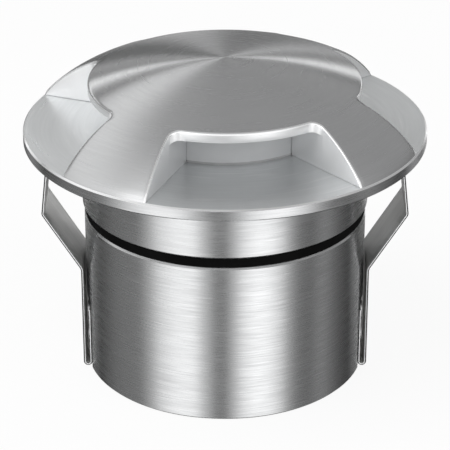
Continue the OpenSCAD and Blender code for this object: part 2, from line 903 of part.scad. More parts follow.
// Two rivets: head on the strip, shank through the barrel, closed head in the recess
module clip_rivets() {
    color("gainsboro")
    for (z = rivet_heights)
        translate([0, 0, z])
            rotate([0, 90, 0]) {
                translate([0, 0, flat_x + strip_t]) cylinder(r = rivet_head_r, h = rivet_head_t);
                translate([0, 0, rivet_tail_x - rivet_head_t / 2])
                    cylinder(r = rivet_r, h = flat_x + strip_t + rivet_head_t - rivet_tail_x);
                translate([0, 0, rivet_tail_x - rivet_head_t])
                    cylinder(r = rivet_head_r, h = rivet_head_t);
            }
}

module right_clip() {
    clip();
}

module right_clip_arm() {
    clip_arm();
}

module right_clip_rivets() {
    clip_rivets();
}

module left_clip() {
    mirror([1, 0, 0]) clip();
}

module left_clip_arm() {
    mirror([1, 0, 0]) clip_arm();
}

module left_clip_rivets() {
    mirror([1, 0, 0]) clip_rivets();
}

cover();
flange_ring();
diffuser_ring();
lens_gasket_upper();
lens_gasket_lower();
reflector_cone();
reflector_screw();
cover_screws();
body_gasket();
barrel();
heat_sink();
heat_sink_screws();
thermal_pad();
led_board();
led_emitters();
led_board_screws();
led_leads();
driver_board();
driver_inductor();
driver_capacitors();
driver_chips();
terminal_block();
standoffs();
driver_board_screws();
gland_body();
gland_gasket();
gland_seal();
gland_nut();
gland_locknut();
left_clip();
left_clip_rivets();
left_clip_arm();
right_clip();
right_clip_rivets();
right_clip_arm();
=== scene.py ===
import math
from functools import partial

import bmesh
import bpy
from bpy.props import FloatProperty, FloatVectorProperty, PointerProperty
from mathutils import Matrix, Vector


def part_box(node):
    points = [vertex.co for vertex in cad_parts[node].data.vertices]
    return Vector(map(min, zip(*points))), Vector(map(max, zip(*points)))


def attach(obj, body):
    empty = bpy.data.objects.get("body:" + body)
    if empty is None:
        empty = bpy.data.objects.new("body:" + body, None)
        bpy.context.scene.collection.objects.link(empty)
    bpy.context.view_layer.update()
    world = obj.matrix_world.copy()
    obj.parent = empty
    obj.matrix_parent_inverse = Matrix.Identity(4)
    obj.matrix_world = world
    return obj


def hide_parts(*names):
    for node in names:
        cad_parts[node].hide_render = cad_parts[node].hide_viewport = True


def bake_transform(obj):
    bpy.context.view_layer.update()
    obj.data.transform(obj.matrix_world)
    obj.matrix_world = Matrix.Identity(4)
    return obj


bl_info = {
    "name": "In ground well light",
    "version": (1, 0, 0),
    "blender": (4, 5, 0),
    "location": "3D View > Sidebar > Well Light",
    "description": "Dresses the packed frame of a recessed ground light in brushed stainless steel",
    "category": "Add Mesh",
}

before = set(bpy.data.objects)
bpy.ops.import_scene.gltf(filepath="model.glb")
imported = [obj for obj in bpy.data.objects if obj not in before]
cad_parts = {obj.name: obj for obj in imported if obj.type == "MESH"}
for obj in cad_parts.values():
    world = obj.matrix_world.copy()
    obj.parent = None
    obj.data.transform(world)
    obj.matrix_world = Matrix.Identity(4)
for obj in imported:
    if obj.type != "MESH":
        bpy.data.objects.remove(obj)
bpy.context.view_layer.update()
MM = 0.001
(_, _, FOOT_TO_SEAL), (_, _, COLLAR_Z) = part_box("body_gasket")
(_, _, NECK_Z), (RIM_R, _, RIM_Z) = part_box("flange_ring")
APEX_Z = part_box("cover")[1].z
BARREL_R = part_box("barrel")[1].y
WINDOWS = 4
WINDOW_STEP = math.tau / WINDOWS
SAME = 0.001 * MM  # two places nearer than this are the same
HAIR = 0.01 * MM  # margin past a flat face where its neighbours are picked
MERGE = 0.004 * MM  # vertices nearer than this are merged
RING = 0.1 * MM  # two rings of vertices lie at least this far apart
WHITE = (1.0, 1.0, 1.0, 1.0)
NOISE_RANGE = (0.3, 0.7)  # most values of a noise texture lie between these
SCRATCH_SHINE = 1.5  # brightness of a scratch against the steel round it
SCRATCH_CUT = 1.6  # depth of a full scratch against a brush line
ACROSS = 0.25  # part of a turn that draws the highlights across the brush lines
GRAIN_SWING = 0.06  # how far the grain changes the roughness
GRAIN_STRENGTH = 0.6  # strength of the grain's bump
MOTTLE_RATE = 140.0  # rate of the slow mottling, in 1/m


def setting(kind=FloatProperty, **options):
    """A maker of settings of one kind from their default and description."""
    return lambda default, description: kind(default=default, description=description, **options)


length = setting(min=0.0, precision=5, subtype="DISTANCE")
rotation = setting(subtype="ANGLE")
share = setting(min=0.0, max=1.0, subtype="FACTOR")
number = setting()
colour = setting(FloatVectorProperty, min=0.0, max=1.0, size=3, subtype="COLOR")


def angle(degrees, description):
    return rotation(math.radians(degrees), description)


def named(cls):
    """Gives each setting its attribute's name in plain words."""
    for key, made in cls.__annotations__.items():
        made.keywords["name"] = key.replace("_", " ").capitalize()
    return cls


@named
class CoverSizes(bpy.types.PropertyGroup):
    shoulder_radius: length(0.0326, "Radius of the arc from the crown to the rim")
    rim_slope: angle(52.2, "Slope of the dome at the rim")
    wall: length(0.002, "Thickness of the domed plate over the pockets")
    head_turn: angle(9.0, "Turn of the windows against the spring clips")
    half_window: angle(30.6, "Half the angle that one window opens")
    window_radius: length(0.0304, "Distance of a window's inner edge from the axis")
    window_fillet: length(0.0023, "Fillet in a window's inner corners")
    pocket_radius: length(0.0226, "Distance of a pocket's back wall from the axis")
    edge_round: length(0.00042, "Rounding of the polished window edges")
    plate_round: length(0.00012, "Rounding of the domed plate's lower edge")
    foot_groove: length(0.00012, "Groove where the pocket walls stand on the flange")


@named
class HousingSizes(bpy.types.PropertyGroup):
    flange: length(0.0027, "Thickness of the flange plate")
    rim_chamfer: length(0.00035, "Chamfer round the flange's outer edges")
    flange_bore: length(0.0205, "Radius of the flange's bore")
    collar_radius: length(0.0322, "Outer radius of the collar")
    collar_bore: length(0.0297, "Radius of the collar's bore")
    neck_bore: length(0.0267, "Radius of the screwed neck's bore")
    neck_web: length(0.0026, "Thickness of the web between collar and neck")
    neck_radius: length(0.0293, "Outer radius of the neck's thread")
    thread_depth: length(0.001, "Depth of the neck's thread")
    thread_pitch: length(0.002, "Rise of the thread in one turn")
    edge_chamfer: length(0.0004, "Chamfer on the edges beside the seal and at the foot")
    barrel_bore: length(0.0294, "Radius of the barrel's bore")
    recess: length(0.015, "Depth of the recess under the barrel's floor")
    floor: length(0.003, "Thickness of the barrel's floor")
    gland_hole: length(0.0061, "Radius of the hole for the cable gland")
    flat: length(0.0306, "Distance of the flats from the axis")
    flat_height: length(0.017, "Height of the flats above the foot")
    seal_round: length(0.0005, "Rounding of the seal's outer edges")


@named
class ClipSizes(bpy.types.PropertyGroup):
    width: length(0.0152, "Width of the spring strip")
    thickness: length(0.0005, "Thickness of the spring strip")
    leg_top: length(0.0145, "Height of the riveted leg")
    hairpin: length(0.0001, "Gap from the foot plane up to the hairpin")
    leg: length(0.0324, "Distance of the outer leg from the axis")
    bend: length(0.02495, "Height of the bend where the arm leaves the barrel")
    bend_radius: length(0.0024, "Radius of that bend")
    knee: length(0.0409, "Distance of the knee from the axis")
    knee_height: length(0.0387, "Height of the knee")
    knee_radius: length(0.0012, "Bend radius of the strip at the knee")
    tip: length(0.03956, "Distance of the upper leaf's end from the axis")
    tip_height: length(0.05115, "Height of the upper leaf's end")
    edge_round: length(0.0002, "Rounding of the strip's edges")


@named
class Finish(bpy.types.PropertyGroup):
    steel: colour((0.60, 0.605, 0.61), "Brushed stainless steel")
    # Near-white of the polished edges. It also serves as a painted highlight: on the windows' cut edges, the
    # front and back windows' roundings and the strips' inner edges.
    polish: colour((0.95, 0.955, 0.96), "Polished cut edges")
    spring: colour((0.78, 0.78, 0.77), "Rolled spring strip")
    pocket: colour((0.75, 0.765, 0.77), "Satin flange at the bottom of the window pockets")
    dome_roughness: share(0.26, "Roughness of the brushed dome")
    barrel_roughness: share(0.28, "Roughness of the brushed barrel")
    dome_brushing: share(0.98, "How far the dome's highlights are drawn out from the crown")
    brushing: share(0.84, "How far the highlights are drawn across the brush lines")
    line_depth: length(0.00001, "Depth of the brush lines")
    frosted: colour((0.62, 0.63, 0.64), "Frosted diffuser")
    rubber: colour((0.003, 0.003, 0.003), "Black rubber seal")


@named
class StageSettings(bpy.types.PropertyGroup):
    lens: number(178.21, "Focal length for a 36 mm frame, in millimetres")
    distance: length(0.45684, "Distance of the camera in front of the axis")
    height: length(0.25553, "Height of the camera above the foot plane")
    pitch: angle(26.02, "How far the camera looks down")
    floor_radius: length(1.6, "Radius of the pale floor")
    tent_radius: length(1.9, "Radius of the light tent round the object")
    floor_white: share(0.9, "Share of plain white in the floor as the camera sees it")
    ambient: number(0.62, "Soft light from all round")
    key: number(3.4, "Power of the large lamp over the object, in watts")
    tent_level: number(1.0, "Brightness of the tent in the steel")
    fan_rise: angle(26.0, "Height of the fan of panels behind the object, as an angle")


@named
class WellLight(bpy.types.PropertyGroup):
    cover: PointerProperty(type=CoverSizes)
    housing: PointerProperty(type=HousingSizes)
    clip: PointerProperty(type=ClipSizes)
    finish: PointerProperty(type=Finish)
    stage: PointerProperty(type=StageSettings)


class Nodes:
    """Adds nodes to a tree, with values or sockets as inputs."""

    def __init__(self, tree):
        self.tree = tree

    def add(self, kind, inputs=None, **settings):
        node = self.tree.nodes.new(kind)
        for key, value in settings.items():
            setattr(node, key, value)
        for key, value in (inputs or {}).items():
            if isinstance(value, bpy.types.NodeSocket):
                self.tree.links.new(value, node.inputs[key])
            else:
                node.inputs[key].default_value = value
        return node

    def math(self, operation, first, second=0.0, third=0.0):
        return self.add("ShaderNodeMath", {0: first, 1: second, 2: third}, operation=operation).outputs[0]

    def spread(self, value, low, high, low_out=0.0, high_out=1.0):
        inputs = {0: value, 1: low, 2: high, 3: low_out, 4: high_out}
        return self.add("ShaderNodeMapRange", inputs).outputs[0]

    def tint(self, factor, first, second):
        """Colour between two others."""
        return self.add("ShaderNodeMix", {0: factor, 6: first, 7: second}, data_type="RGBA").outputs[2]

    def noise(self, vector, scale, detail=2.0, roughness=0.5):
        return self.add("ShaderNodeTexNoise", {"Vector": vector, "Scale": scale, "Detail": detail,
                                               "Roughness": roughness}).outputs["Fac"]

    def bump(self, height, strength, distance):
        return self.add("ShaderNodeBump", {"Height": height, "Strength": strength,
                                           "Distance": distance}).outputs["Normal"]

    def axes(self):
        place = self.add("ShaderNodeTexCoord").outputs["Object"]
        return self.add("ShaderNodeSeparateXYZ", {0: place}).outputs

    def surface(self, inputs):
        """The shader of a material, from its inputs by name."""
        shader = self.add("ShaderNodeBsdfPrincipled", inputs)
        self.add("ShaderNodeOutputMaterial", {"Surface": shader.outputs[0]})


def effect_group(name, inputs, outputs):
    """A new node group with float inputs and outputs, and its input and output nodes."""
    group = bpy.data.node_groups.new(name, "ShaderNodeTree")
    for side, labels in (("INPUT", inputs), ("OUTPUT", outputs)):
        for label in labels:
            group.interface.new_socket(label, in_out=side, socket_type="NodeSocketFloat")
    nodes = Nodes(group)
    return nodes, nodes.add("NodeGroupInput").outputs, nodes.add("NodeGroupOutput").inputs


def brush_group(name, turned):
    """Brush lines round the axis or along a strip: fine lines, broad streaks and scratches."""
    nodes, given, out = effect_group(name, ("Along", "Across"), ("Lines", "Streaks", "Scratches"))
    axes = nodes.axes()
    if turned:
        flat = nodes.add("ShaderNodeCombineXYZ", {0: axes[0], 1: axes[1]}).outputs[0]
        reach = nodes.add("ShaderNodeVectorMath", {0: flat}, operation="LENGTH").outputs["Value"]
        across = nodes.math("SUBTRACT", reach, axes[2])
        sides, rates = (axes[0], axes[1], across), ("Along", "Along", "Across")
    else:
        sides, rates = (axes[0], axes[1], axes[2]), ("Along", "Across", "Along")

    def lines(along_share, across_share, detail):
        shares = {"Along": along_share, "Across": across_share}
        rated = [nodes.math("MULTIPLY", nodes.math("MULTIPLY", side, given[rate]), shares[rate])
                 for side, rate in zip(sides, rates)]
        vector = nodes.add("ShaderNodeCombineXYZ", dict(enumerate(rated))).outputs[0]
        return nodes.noise(vector, 1.0, detail, 0.6)

    links = nodes.tree.links
    links.new(nodes.spread(lines(1.0, 1.0, 3.0), *NOISE_RANGE), out["Lines"])
    links.new(nodes.spread(lines(0.45, 0.16, 2.0), *NOISE_RANGE), out["Streaks"])
    links.new(nodes.spread(lines(1.3, 0.75, 0.0), 0.70, 0.80), out["Scratches"])
    return nodes.tree


def grain_group():
    """Fine grain and slow mottling for rubber, plastic and plain metal."""
    nodes, given, out = effect_group("Surface grain", ("Rate",), ("Grain", "Mottle"))
    place = nodes.add("ShaderNodeTexCoord").outputs["Object"]
    links = nodes.tree.links
    links.new(nodes.noise(place, given["Rate"], 3.0, 0.6), out["Grain"])
    links.new(nodes.spread(nodes.noise(place, MOTTLE_RATE), *NOISE_RANGE), out["Mottle"])
    return nodes.tree


def emptied(block):
    """The node helper of a material or a world, with nothing in its tree."""
    block.use_nodes = True
    block.node_tree.nodes.clear()
    return Nodes(block.node_tree)


def new_material(name):
    material = bpy.data.materials.new(name)
    return material, emptied(material)


def scaled(rgb, factor):
    """A brighter or darker colour, with its alpha."""
    return (*(min(channel * factor, 1.0) for channel in rgb[:3]), 1.0)


def brushed_steel(name, base, group, roughness, brushing, depth, along=90.0, across=3000.0, contrast=0.08,
                  swing=0.08, scratch=0.25, broad=0.3, metallic=1.0):
    """Stainless steel whose brush lines change its colour, roughness and slope.

    Along and across are the lines' rates in 1/m, contrast and swing how far they change the colour and the
    roughness, and broad the share of the broad streaks. Brushing of 0 is for lines along a strip.
    """
    material, nodes = new_material(name)
    brush = nodes.add("ShaderNodeGroup", {"Along": along, "Across": across}, node_tree=group).outputs
    lines, streaks, scratches = (brush[k] for k in ("Lines", "Streaks", "Scratches"))
    both = nodes.math("MULTIPLY_ADD", streaks, broad, nodes.math("MULTIPLY", lines, 1.0 - broad))
    body = nodes.tint(both, scaled(base, 1.0 - contrast), scaled(base, 1.0 + contrast))
    cut = nodes.math("MULTIPLY_ADD", scratches, -SCRATCH_CUT * scratch, both)
    marks = nodes.math("MULTIPLY", scratches, scratch)
    inputs = {
        "Base Color": nodes.tint(marks, body, scaled(base, SCRATCH_SHINE)),
        "Roughness": nodes.spread(both, 0.0, 1.0, roughness + swing, roughness - swing),
        "Normal": nodes.bump(cut, 1.0, depth),
        "Metallic": metallic,
    }
    if brushing:
        tangent = nodes.add("ShaderNodeTangent", direction_type="RADIAL", axis="Z").outputs[0]
        inputs |= {"Anisotropic": brushing, "Anisotropic Rotation": ACROSS, "Tangent": tangent}
    nodes.surface(inputs)
    return material


def grained(group, name, base, roughness, metallic=0.0, swing=0.12, depth=0.01 * MM, rate=2600.0,
            coat=0.0, shine=0.5):
    """Rubber, plastic or plain metal with a fine grain, of a rate in 1/m, and slow mottling."""
    material, nodes = new_material(name)
    grain = nodes.add("ShaderNodeGroup", {"Rate": rate}, node_tree=group).outputs
    rough = (roughness - GRAIN_SWING, min(roughness + GRAIN_SWING, 1.0))
    nodes.surface({
        "Base Color": nodes.tint(grain["Mottle"], scaled(base, 1.0 - swing), scaled(base, 1.0 + swing)),
        "Roughness": nodes.spread(grain["Grain"], *NOISE_RANGE, *rough),
        "Normal": nodes.bump(grain["Grain"], GRAIN_STRENGTH, depth),
        "Metallic": metallic,
        "Coat Weight": coat,
        "Specular IOR Level": shine,
    })
    return material


MATERIALS = {}


def build_materials(finish):
    """All finishes, built once."""
    turned = brush_group("Turned brush lines", True)
    strip = brush_group("Strip brush lines", False)
    plain = partial(grained, grain_group())
    depth = finish.line_depth
    steel, polish, spring = finish.steel, finish.polish, finish.spring
    edge = {"brushing": 0.2, "along": 160.0, "across": 1500.0, "contrast": 0.04, "depth": depth * 0.5}
    leaf = {"brushing": 0.0, "along": 60.0, "across": 2600.0}
    MATERIALS.update(
        dome=brushed_steel("Brushed dome", steel, turned, finish.dome_roughness, finish.dome_brushing,
                           contrast=0.035, depth=depth * 0.14, swing=0.02, scratch=0.04, broad=0.2),
        # A mostly diffuse near-white on a real polished edge: a painted highlight that stands in for the cut
        # edges' bright reflection.
        polish=brushed_steel("Polished edge with painted highlight", polish, turned, 0.36, metallic=0.2, **edge),
        rounding=brushed_steel("Bright rounding", polish, turned, 0.3, **edge),
        wall=plain("Pocket wall", scaled(steel, 1.4), 0.34, metallic=0.6, swing=0.03, depth=0.002 * MM),
        pocket=brushed_steel("Satin pocket floor", finish.pocket, turned, 0.34, 0.4, along=70.0,
                             across=1500.0, contrast=0.05, depth=depth * 0.5, metallic=0.9, broad=0.45),
        flange=brushed_steel("Brushed flange", steel, turned, finish.barrel_roughness, 0.7,
                             depth=depth * 0.7),
        barrel=brushed_steel("Brushed barrel", steel, turned, finish.barrel_roughness, finish.brushing,
                             along=100.0, across=3200.0, contrast=0.13, depth=depth, broad=0.25),
        spring=brushed_steel("Spring strip", spring, strip, 0.46, contrast=0.06, depth=depth * 0.6, **leaf),
        # The strip's cut edges come in two copies: dark as painted shade on their outer part, bright as a
        # painted highlight on their inner part.
        dark_edge=brushed_steel("Strip edge painted shade", scaled(spring, 0.07), strip, 0.4, contrast=0.1,
                                depth=depth * 0.4, **leaf),
        bright_edge=brushed_steel("Strip edge painted highlight", polish, strip, 0.5, contrast=0.04,
                                  depth=depth * 0.4, **leaf),
        screw=plain("Bright screw steel", (0.62, 0.62, 0.63), 0.28, metallic=1.0),
        rubber=plain("Black rubber", finish.rubber, 0.7, swing=0.4, depth=0.03 * MM, rate=1600.0,
                     shine=0.05),
        seal=plain("Grey seal", (0.42, 0.42, 0.425), 0.6, swing=0.3, depth=0.02 * MM),
        frosted=plain("Frosted diffuser", finish.frosted, 0.42, swing=0.04, depth=0.004 * MM),
        reflector=plain("White reflector", (0.85, 0.85, 0.85), 0.25, swing=0.03),
        aluminium=brushed_steel("Turned aluminium", (0.74, 0.75, 0.76), turned, 0.34, 0.5, along=60.0,
                                across=2200.0, depth=depth),
        pad=plain("Thermal pad", (0.32, 0.33, 0.35), 0.8, swing=0.1),
        lamp_board=plain("White board", (0.80, 0.80, 0.78), 0.35, swing=0.04),
        lamp=plain("Lamp phosphor", (0.80, 0.62, 0.14), 0.3, swing=0.06, coat=0.4),
        lead=plain("Red lead", (0.50, 0.04, 0.04), 0.4, swing=0.1),
        board=plain("Green board", (0.03, 0.20, 0.08), 0.4, swing=0.15, coat=0.3),
        copper=brushed_steel("Copper winding", (0.62, 0.30, 0.15), turned, 0.35, 0.3, along=60.0,
                             across=2000.0, contrast=0.2, depth=depth),
        sleeve=plain("Blue sleeve", (0.03, 0.05, 0.17), 0.35, swing=0.1, coat=0.3),
        chip=plain("Chip case", (0.02, 0.02, 0.02), 0.5, swing=0.2),
        terminal=plain("Green terminal", (0.04, 0.26, 0.10), 0.4, swing=0.1),
        brass=plain("Turned brass", (0.70, 0.52, 0.22), 0.3, metallic=1.0, swing=0.08),
        nickel=plain("Nickel plate", (0.62, 0.60, 0.56), 0.25, metallic=1.0, swing=0.06),
    )


def at(radius, turn, height):
    return Vector((radius * math.cos(turn), radius * math.sin(turn), height))


def closed_outline(bm, points):
    """Vertices and edges of a closed outline in the XZ plane, from points (x, z)."""
    verts = [bm.verts.new((x, 0.0, z)) for x, z in points]
    edges = [bm.edges.new((verts[i - 1], vert)) for i, vert in enumerate(verts)]
    return verts + edges


def extruded(bm, edges):
    """Extrudes edges and returns the new ones and the vertices to move."""
    made = bmesh.ops.extrude_edge_only(bm, edges=edges)["geom"]
    return ([g for g in made if isinstance(g, bmesh.types.BMEdge)],
            [g for g in made if isinstance(g, bmesh.types.BMVert)])


def turned_ring(bm, points, steps=256):
    """The closed outline turned once round the axis."""
    bmesh.ops.spin(bm, geom=closed_outline(bm, points), axis=(0, 0, 1), angle=math.tau, steps=steps,
                   use_merge=True)


def square_ring(bm, bore, low, high, **steps):
    """A ring of square section from a bore out to the corners of a CAD node's box."""
    turned_ring(bm, [(bore, low.z), (high.x, low.z), (high.x, high.z), (bore, high.z)], **steps)


def soften(bm, edges, width, segments=2):
    """Rounds the edges and returns the new faces."""
    return bmesh.ops.bevel(bm, geom=edges, offset=width, segments=segments, profile=0.5, affect="EDGES",
                           material=-1, loop_slide=True)["faces"]


def linked(name, data):
    made = bpy.data.objects.new(name, data)
    bpy.context.collection.objects.link(made)
    return made


def new_object(name, bm, materials=()):
    """The mesh as a linked object with its materials."""
    mesh = bpy.data.meshes.new(name)
    bm.to_mesh(mesh)
    bm.free()
    for material in materials:
        mesh.materials.append(material)
    return linked(name, mesh)


def finish_piece(name, bm, materials, slot, body, *nodes, sharp=30.0):
    """Makes the mesh a smooth shaded piece that rides on a body and stands for CAD nodes."""
    bmesh.ops.recalc_face_normals(bm, faces=bm.faces[:])
    for face in bm.faces:
        face.smooth = True
    limit = math.radians(sharp)
    for edge in bm.edges:
        edge.smooth = edge.is_manifold and edge.calc_face_angle(0.0) < limit
    piece = new_object(name, bm, [MATERIALS[material] for material in materials])
    if body:
        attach(piece, body)
    if nodes:
        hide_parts(*nodes)
    return piece


def dress(node, material):
    """Gives a CAD node its finish."""
    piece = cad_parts[node]
    if not piece.data.materials:
        piece.data.materials.append(None)
    for place in piece.material_slots:
        place.material = MATERIALS[material]


def sharp_edges(bm, limit):
    return [e for e in bm.edges if e.is_manifold and e.calc_face_angle(0.0) > limit]


class Maker:
    """What the operators share."""

    bl_options = {"REGISTER", "UNDO"}

    @property
    def light(self):
        return bpy.context.scene.well_light


class WELL_OT_finishes(Maker, bpy.types.Operator):
    """Build the steel, rubber, plastic and board finishes"""

    bl_idname = "well_light.finishes"
    bl_label = "Finishes"

    def execute(self, context):
        build_materials(self.light.finish)
        return {"FINISHED"}


class WELL_OT_cover(Maker, bpy.types.Operator):
    """Make the domed cover with its four windows, polished edges and lands"""

    bl_idname = "well_light.cover"
    bl_label = "Domed cover"

    # Steps of half a window's inner edge, of one fillet and of one land
    arc_steps, fillet_steps, land_steps = 14, 8, 16
    # Mesh rings by radius over the crown and a pocket, and by their share of the way on to the rim
    crown_rings = [MM * r for r in (0, 0.6, 1.6, 3, 5, 7.5, 10, 12.5, 15, 17.5, 20)]
    plate_rings = [MM * r for r in (24.5, 26.5, 28.4, 29.6)]
    land_shares = (0.235, 0.33, 0.43, 0.53, 0.63, 0.73, 0.82, 0.9, 0.96, 1.0)
    finishes = ["dome", "polish", "wall", "rounding"]
    dome_steel, polish, wall, rounding = range(4)
    # A plate's cut edge lies higher over the flange than this, and a wall's normal rises less
    cut_edge, upright = 5 * MM, 0.3
    # Angles within which two columns are the same, and a face is on a window's side
    same_turn, side_turn = 1e-5, math.radians(0.3)
    sharp = math.radians(40)

    def dome(self, radius, sunk=0.0):
        """Height of the dome at a radius, or of its underside when sunk by the wall."""
        sizes = self.light.cover
        shoulder = sizes.shoulder_radius
        shoulder_x = RIM_R - shoulder * math.sin(sizes.rim_slope)
        shoulder_z = RIM_Z - shoulder * math.cos(sizes.rim_slope)
        gap = APEX_Z - shoulder_z
        crown = (shoulder_x ** 2 + gap ** 2 - shoulder ** 2) / (2 * (gap - shoulder))
        meet = shoulder_x * (crown - sunk) / (crown - shoulder)
        if radius < meet:
            return APEX_Z - crown + math.sqrt((crown - sunk) ** 2 - radius ** 2)
        reach = (shoulder - sunk) ** 2 - (radius - shoulder_x) ** 2
        if radius > self.end - HAIR:
            return RIM_Z
        return max(shoulder_z + math.sqrt(max(reach, 0.0)), RIM_Z)

    def columns(self):
        """Angles of the mesh columns in one quarter, and the radius of the window's outline on each."""
        sizes = self.light.cover
        half, fillet = sizes.half_window, sizes.window_fillet
        centre = sizes.window_radius + fillet
        lean = math.asin(fillet / centre)
        edge = half - lean
        right = [(edge * i / self.arc_steps, sizes.window_radius) for i in range(1, self.arc_steps)]
        for i in range(self.fillet_steps + 1):
            turn = (math.pi / 2 - lean) * i / self.fillet_steps
            x, y = centre - fillet * math.cos(turn), fillet * math.sin(turn)
            right.append((edge + math.atan2(y, x), math.hypot(x, y)))
        land = [(half + (WINDOW_STEP - 2 * half) * i / self.land_steps, sizes.window_radius)
                for i in range(1, self.land_steps)]
        left = [(-a, r) for a, r in reversed(right)]
        return left + [(0.0, sizes.window_radius)] + right + land

    @property
    def end(self):
        """Radius at which the dome meets the flange."""
        return RIM_R - self.light.housing.rim_chamfer

    def rings(self):
        """Radii of the mesh rings."""
        pocket, edge = self.light.cover.pocket_radius, self.light.cover.window_radius
        return [*self.crown_rings, pocket, pocket + RING, *self.plate_rings, edge,
                *(edge + (self.end - edge) * part for part in self.land_shares)]

    def from_window(self, point):
        """Angle from the nearest window's middle."""
        turn = math.atan2(point.y, point.x) - self.light.cover.head_turn + math.pi / 2
        return turn - WINDOW_STEP * round(turn / WINDOW_STEP)

    def from_side(self, point):
        """Angle from the nearest side of a window."""
        return abs(abs(self.from_window(point)) - self.light.cover.half_window)

    def on_dome(self, vert):
        return abs(vert.co.z - self.dome(vert.co.xy.length)) < SAME

    def sharp_edges(self, bm, test):
        """Sharp edges whose vertices all pass a test."""
        return [e for e in sharp_edges(bm, self.sharp) if all(test(v) for v in e.verts)]

    def skin(self, bm, quarter, rings):
        """The dome's surface, column by column round the axis."""
        start = self.light.cover.head_turn - math.pi / 2
        turns = [start + WINDOW_STEP * k + turn for k in range(WINDOWS) for turn, _ in quarter]
        strip = [bm.verts.new(at(r, turns[0], self.dome(r))) for r in rings]
        edges = [bm.edges.new(pair) for pair in zip(strip, strip[1:])]
        for previous, turn in zip(turns, turns[1:] + [turns[0] + math.tau]):
            edges, moved = extruded(bm, edges)
            bmesh.ops.rotate(bm, verts=moved, matrix=Matrix.Rotation(turn - previous, 3, "Z"))
        bmesh.ops.remove_doubles(bm, verts=bm.verts[:], dist=MERGE)

    def open_windows(self, bm, quarter):
        """Takes out the windows and bends their inner corners to the fillets."""
        sizes = self.light.cover
        edge = sizes.window_radius
        bmesh.ops.delete(bm, context="FACES", geom=[
            face for face in bm.faces if face.calc_center_median().xy.length > edge
            and abs(self.from_window(face.calc_center_median())) < sizes.half_window])
        fillets = [(turn, reach) for turn, reach in quarter if reach > edge + 0.1 * SAME]
        for vert in (v for v in bm.verts if abs(v.co.xy.length - edge) < SAME):
            for turn, reach in fillets:
                if abs(self.from_window(vert.co) - turn) < self.same_turn:
                    vert.co = at(reach, math.atan2(vert.co.y, vert.co.x), self.dome(reach))
                    break

    def thicken(self, bm):
        """A plate of even wall over crown and pockets, and lands down to the flange."""
        sizes = self.light.cover
        made = bmesh.ops.extrude_face_region(bm, geom=bm.faces[:], use_keep_orig=True)["geom"]
        for vert in (g for g in made if isinstance(g, bmesh.types.BMVert)):
            radius = vert.co.xy.length
            under_window = abs(self.from_window(vert.co)) < sizes.half_window - self.same_turn
            if radius < sizes.pocket_radius + RING / 2 or under_window:
                vert.co.z = self.dome(radius, sizes.wall)
            else:
                vert.co.z = RIM_Z
        bmesh.ops.remove_doubles(bm, verts=bm.verts[:], dist=MERGE)
        bmesh.ops.recalc_face_normals(bm, faces=bm.faces[:])

    def tell_walls(self, bm):
        """Gives the pocket walls and the plates' cut edges their finishes."""
        sizes = self.light.cover
        for face in bm.faces:
            if face.normal.z < self.upright:
                face.material_index = self.wall
            middle = face.calc_center_median()
            if (abs(face.normal.z) < self.upright and middle.xy.length > sizes.window_radius - SAME
                    and middle.z - RIM_Z > self.cut_edge
                    and abs(self.from_window(middle)) < sizes.half_window - self.side_turn):
                # The cut edges get the near-white polish as a painted highlight.
                face.material_index = self.polish

    def join_corners(self, bm, beyond, fillet_turn):
        """Joins the dome's faces beside each window corner, which gives the rounding room."""
        sizes = self.light.cover
        corners = [f for f in bm.faces if all(self.on_dome(v) for v in f.verts)
                   and self.plate_rings[-1] < f.calc_center_median().xy.length < beyond
                   and self.from_side(f.calc_center_median()) < fillet_turn]
        for k in range(2 * WINDOWS):
            side = sizes.half_window if k % 2 else -sizes.half_window
            turn = sizes.head_turn - math.pi / 2 + WINDOW_STEP * (k // 2) + side
            near = [f for f in corners
                    if (f.calc_center_median().xy - at(beyond, turn, 0).xy).length < 2 * sizes.window_fillet]
            corners = [f for f in corners if f not in near]
            bmesh.ops.dissolve_faces(bm, faces=near)

    def round_edges(self, bm, fillet_turn):
        """Rounds the windows' upper edges and the plates' lower ones, and grooves the walls' feet."""
        sizes = self.light.cover
        mouth = sizes.window_radius - SAME
        top = [e for e in self.sharp_edges(bm, lambda v: self.on_dome(v) and v.co.xy.length > mouth)
               if any(v.co.xy.length < self.end - RING for v in e.verts)]
        for face in soften(bm, top, sizes.edge_round, segments=3):
            middle = face.calc_center_median()
            # Roundings of the front and back windows get the bright finish as a painted highlight. Those of
            # the side windows keep the darker dome steel as painted shade.
            face.material_index = self.rounding if abs(middle.y) > abs(middle.x) else self.dome_steel
        under = self.sharp_edges(bm, lambda v: (
            v.co.xy.length > mouth and abs(self.from_window(v.co)) < sizes.half_window - fillet_turn
            and RIM_Z + self.cut_edge < v.co.z < self.dome(v.co.xy.length) - sizes.wall / 2))
        for face in soften(bm, under, sizes.plate_round):
            # The plates' lower roundings get the same painted highlight.
            face.material_index = self.polish
        feet = self.sharp_edges(bm, lambda v: (
            v.co.z < RIM_Z + HAIR and self.from_side(v.co) < 10 * self.same_turn
            and sizes.pocket_radius < v.co.xy.length < self.end - 3 * RING))
        soften(bm, feet, sizes.foot_groove, segments=1)

    def execute(self, context):
        sizes = self.light.cover
        quarter = self.columns()
        rings = self.rings()
        fillet_turn = math.asin(sizes.window_fillet / (sizes.window_radius + sizes.window_fillet))
        bm = bmesh.new()
        self.skin(bm, quarter, rings)
        self.open_windows(bm, quarter)
        self.thicken(bm)
        self.tell_walls(bm)
        self.join_corners(bm, rings[-len(self.land_shares)], fillet_turn)
        self.round_edges(bm, fillet_turn)
        finish_piece("domed_cover", bm, self.finishes, "cover_steel", "head", "cover", sharp=38.0)
        return {"FINISHED"}


